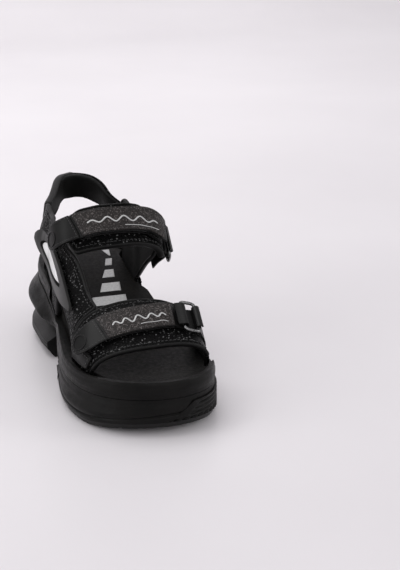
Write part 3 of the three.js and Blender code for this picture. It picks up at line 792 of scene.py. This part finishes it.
satin_plastic = finish("satin_plastic", grey(0.02), 0.4, Specular_IOR_Level=0.25)
blotches(satin_plastic, 70.0, grey(0.014), grey(0.024, 0.02))
grain(satin_plastic, 2400.0, 0.00004)
reflective = finish("reflective_film", grey(0.7), 0.3, Metallic=0.2)
blotches(reflective, 150.0, grey(0.62), grey(0.78))


def film_cells(material, size):
    """The tiny honeycomb of reflective film."""
    cells = add_node(material, "TexVoronoi", Vector=place_in(material), Scale=1 / size)
    relief(material, cells.outputs["Distance"], 0.1 * size, 0.5)


film_cells(reflective, 0.8 * MM)
leaf = rounded("ornament_ring", "ornament_frame", satin_plastic, 0.55 * MM, 3)
stands_for(leaf, SANDAL, "ornament", "ornament_frame")
film = rounded("ornament_film", "ornament_insert", reflective, 0.2 * MM, 2)
stands_for(film, SANDAL, "reflective", "ornament_insert")

# ---------------------------------------------------------------------------
# Rings: bent from dark plated steel rod, the plating mottled brighter and darker.

plated = finish("dark_plated_steel", grey(0.14), 0.24, Metallic=1.0)
blotches(plated, 120.0, grey(0.10), grey(0.26))
blotches(plated, 500.0, grey(0.16), grey(0.34), "Roughness")
grain(plated, 3000.0, 0.00003)
for strap in ("forefoot", "ankle"):
    ring = rounded(f"{strap}_ring_rod", f"{strap}_strap_ring", plated, 0.2 * MM, 2, angle=1.4)
    stands_for(ring, f"{strap}_ring", "ring", f"{strap}_strap_ring")

# ---------------------------------------------------------------------------
# Straps: smooth black webbing that runs from the outer edge to the ring, turns round it and lies
# back over itself, held by hook and loop tape. A speckled patch is sewn on the upper leg, and a
# moulded tab with a round mark makes the finger grip.

webbing = finish("strap_webbing", grey(0.006), 0.42, Specular_IOR_Level=0.18)
blotches(webbing, 100.0, grey(0.003), grey(0.006, 0.03))
knit(webbing, 0.9 * MM, 0.07 * MM)
hook_tape = finish("hook_tape", grey(0.008), 0.7)
blotches(hook_tape, 300.0, grey(0.006), grey(0.012))
film_cells(hook_tape, 0.5 * MM)
loop_tape = finish("loop_tape", grey(0.010), 0.85, Sheen_Weight=0.2)
blotches(loop_tape, 500.0, grey(0.008), grey(0.014))
grain(loop_tape, 1500.0, 0.0004)
patch_cloth = finish("speckled_patch", grey(0.03), 0.55, Specular_IOR_Level=0.2)
# About a fifth of the patch's flakes are painted light warm grey, as painted glints of its glitter.
sequins(patch_cloth, 0.7 * MM, (0.012, 0.010, 0.0095, 1), (0.11, 0.098, 0.095, 1), 0.22, 0.35)
moulded = finish("moulded_tab", grey(0.01), 0.34, Specular_IOR_Level=0.16)
blotches(moulded, 60.0, grey(0.003), grey(0.006, 0.03))
grain(moulded, 1600.0, 0.00006)


def strap_sheet(node):
    """The outer side of a flat strap piece: its points, and its surface to lay things on."""
    mesh = node_mesh(node)
    faces = outer_faces(mesh)
    verts = sorted({v.index for face in faces for v in face.verts})
    mesh.verts.ensure_lookup_table()
    co = np.array([tuple(mesh.verts[i].co) for i in verts])
    number = {index: i for i, index in enumerate(verts)}
    surface = BVHTree.FromPolygons(co.tolist(), [tuple(number[v.index] for v in f.verts) for f in faces])
    mesh.free()
    return co, surface


def laid_path(surface, points, lift=0.0):
    """Points dropped onto a surface, and the normals there."""
    found = [surface.find_nearest(Vector(p)) for p in points]
    return np.array([tuple(f[0] + f[1] * lift) for f in found]), np.array([tuple(f[1]) for f in found])


def round_mark(name, node, body, radius, cord, inset):
    """A raised circle near the rounded end of a grip tab."""
    co, surface = strap_sheet(node)
    tip = co[co[:, 0].argmin()]
    middle = co.mean(0)
    reach = np.linalg.norm(tip - middle)
    centre = Vector(tip + (middle - tip) * inset / max(reach, 1e-6))
    centre, normal = surface.find_nearest(centre)[:2]
    side = normal.cross(Vector((0, 0, 1))).normalized()
    up = side.cross(normal).normalized()
    turns = np.linspace(0, 2 * math.pi, 49)
    ring_points = [centre + side * radius * math.cos(a) + up * radius * math.sin(a) for a in turns]
    path, normals = laid_path(surface, ring_points, 0.1 * MM)
    path[-1] = path[0]
    mesh = bmesh.new()
    tube(mesh, path, cord, normals, 10, 0.8)
    stands_for(piece(name, mesh, moulded), body, "tab")


def wave_mark(name, node, body):
    """A plain printed wave along the middle of a patch, with a bar under half of it."""
    co, surface = strap_sheet(node)
    centre = co.mean(0)
    _, _, axes = np.linalg.svd(co - centre)
    along = axes[0] * np.sign(axes[0][0])
    across = axes[1] * np.sign(axes[1][2])
    length = float(np.ptp((co - centre) @ along))
    middles = []
    for share in np.linspace(-0.36, 0.36, 60):
        near = co[abs((co - centre) @ along - share * length) < 0.1 * length]
        middles.append(near.mean(0) if len(near) else centre + along * share * length)
    middles = even_steps(middles, 0.5 * MM, closed=False, soften=60)
    shares = np.linspace(0, 1, len(middles))
    swing = np.sin(shares * 2 * math.pi * 4.5) * 2.0 * MM * (0.5 + 0.5 * np.sin(shares * math.pi))
    path, normals = laid_path(surface, middles + across * swing[:, None], 0.12 * MM)
    mesh = bmesh.new()
    tube(mesh, path, 0.55 * MM, normals, 8, 0.35)
    under, under_normals = laid_path(surface, middles[len(middles) // 2:] - across * 5.2 * MM, 0.12 * MM)
    tube(mesh, under, 0.3 * MM, under_normals, 8, 0.5)
    stands_for(piece(name, mesh, silver), body, "reflective")


def sewn_border(name, node, body, slot, inset):
    """A row of fine stitches all round a strap piece, set in from its edge."""
    outline, _, inward, surface = panel_edge(node, 1.0 * MM)
    path, up = laid_path(surface, outline + inward * inset)
    path = np.vstack([path, path[:1]])
    up = np.vstack([up, up[:1]])
    stitches(name, path, up, body, slot, 1.7 * MM, 0.7 * MM, 0.2 * MM)


def nearest_pair(one, other):
    """The nearest points of two pieces."""
    surface = surface_of(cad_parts[other])
    best = min(points_of(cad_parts[one]), key=lambda p: surface.find_nearest(Vector(p))[3])
    return np.array(best), np.array(surface.find_nearest(Vector(best))[0])


def strap_section(node, at, across):
    """The middle and the half width of a strap where it passes a point."""
    offset = points_of(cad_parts[node]) - at
    reach = offset @ across
    near = reach[np.linalg.norm(offset - np.outer(reach, across), axis=1) < 2.2 * MM]
    return at + across * (near.max() + near.min()) / 2, (near.max() - near.min()) / 2


def ring_axis(strap):
    """The direction of the ring's long bars, which is across the strap."""
    rod = points_of(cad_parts[f"{strap}_strap_ring"])
    return np.linalg.svd(rod - rod.mean(0))[2][0]


def web_length(name, first, last, wide, overlap, thick, sink=0.0, rows=9, columns=9):
    """A flat length of webbing between two sections of a strap."""
    (c1, h1), (c2, h2) = first, last
    half = min(h1, h2) - 0.2 * MM
    along = (c2 - c1) / np.linalg.norm(c2 - c1)
    up = np.cross(along, wide)
    up *= np.sign(up @ (c1 - np.array([0, c1[1], 0.04])))
    mesh = bmesh.new()
    grid = []
    for i in range(rows):
        t = i / (rows - 1)
        centre = c1 * (1 - t) + c2 * t + along * overlap * (2 * t - 1) - up * sink
        row = []
        for side in (1, -1):
            for j in range(columns):
                share = (2 * j / (columns - 1) - 1) * side
                row.append(mesh.verts.new(centre + wide * share * half + up * side * thick / 2))
        grid.append(row)
    count = 2 * columns
    for i in range(rows - 1):
        for j in range(count):
            k = (j + 1) % count
            mesh.faces.new((grid[i][j], grid[i][k], grid[i + 1][k], grid[i + 1][j]))
    mesh.faces.new(grid[0][::-1])
    mesh.faces.new(grid[-1])
    bmesh.ops.recalc_face_normals(mesh, faces=mesh.faces)
    made = piece(name, mesh, webbing)
    edges = dict(width=0.25 * MM, segments=2, limit_method="ANGLE", angle_limit=0.9)
    return bake_in(made, ("BEVEL", edges))


def seam_axis(one, other):
    """The direction across a strap, from the points of one piece that lie against the other."""
    surface = surface_of(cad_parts[other])
    points = points_of(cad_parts[one])
    near = np.array([p for p in points if surface.find_nearest(Vector(p))[3] < 2 * MM])
    return np.linalg.svd(near - near.mean(0))[2][0]


def join_webbing(name, one, other, wide, bodies):
    """Closes the gap between two pieces of a strap. Where they ride on two bodies, it is fixed where it is
    made and rides on neither.
    """
    a, b = nearest_pair(one, other)
    ends = strap_section(one, a, wide), strap_section(other, b, wide)
    made = web_length(name, *ends, wide, 0.8 * MM, 1.3 * MM)
    if bodies[0] == bodies[1]:
        stands_for(made, bodies[0], "webbing")
    else:
        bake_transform(made)


def ring_backing(strap):
    """A flap sewn under the ring, from the base leg to the anchor, keeps it off the foot."""
    middle = Vector(points_of(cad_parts[f"{strap}_strap_ring"]).mean(0))
    wide, sections = ring_axis(strap), []
    for part in ("base_leg", "anchor"):
        node = f"{strap}_strap_{part}"
        end = np.array(surface_of(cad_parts[node]).find_nearest(middle)[0])
        sections.append(strap_section(node, end, wide))
    made = web_length(f"{strap}_ring_backing", *sections, wide, 1.5 * MM, 0.8 * MM, 2.6 * MM)
    stands_for(made, SANDAL, "webbing")


# Each strap part: its node, its piece, its material, its slot, its body and its edge radius in mm.
STRAP_PARTS = [
    ("fold", "turn", webbing, "webbing", SANDAL, 0.35),
    ("anchor", "anchor_web", webbing, "webbing", SANDAL, 0.35),
    ("base_leg", "base_web", webbing, "webbing", SANDAL, 0.35),
    ("loop_tape", "loops", loop_tape, "hook_and_loop", SANDAL, 0.15),
    ("hook_tape", "hooks", hook_tape, "hook_and_loop", "free", 0.15),
    ("free_leg", "free_web", webbing, "webbing", "free", 0.35),
    ("patch", "patch_cloth", patch_cloth, "patch", "free", 0.25),
    ("tab", "grip", moulded, "tab", "tab", 0.7),
]
for strap in ("forefoot", "ankle"):
    bodies = {"free": f"{strap}_strap_free", "tab": f"{strap}_tab", SANDAL: SANDAL}
    for part, made_of, material, slot, rides, edge in STRAP_PARTS:
        node = f"{strap}_strap_{part}"
        made = rounded(f"{strap}_{made_of}", node, material, edge * MM, 2)
        stands_for(made, bodies[rides], slot, node)
    free, tab = bodies["free"], bodies["tab"]
    fold, base, leg, patch, grip = (
        f"{strap}_strap_{part}" for part in ("fold", "base_leg", "free_leg", "patch", "tab")
    )
    join_webbing(f"{strap}_free_leg_joint", fold, leg, ring_axis(strap), (SANDAL, free))
    join_webbing(f"{strap}_base_leg_joint", fold, base, ring_axis(strap), (SANDAL, SANDAL))
    join_webbing(f"{strap}_grip_joint", leg, grip, seam_axis(leg, grip), (free, tab))
    ring_backing(strap)
    sewn_border(f"{strap}_patch_border", patch, free, "patch", 1.3 * MM)
    sewn_border(f"{strap}_grip_border", grip, tab, "tab", 1.6 * MM)
    sewn_border(f"{strap}_base_border", base, SANDAL, "webbing", 1.4 * MM)
    wave_mark(f"{strap}_wave_mark", patch, free)
    round_mark(f"{strap}_grip_mark", grip, tab, 5.6 * MM, 0.5 * MM, 9 * MM)

# ---------------------------------------------------------------------------
# Sizes: the box round what is drawn.

low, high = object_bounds()
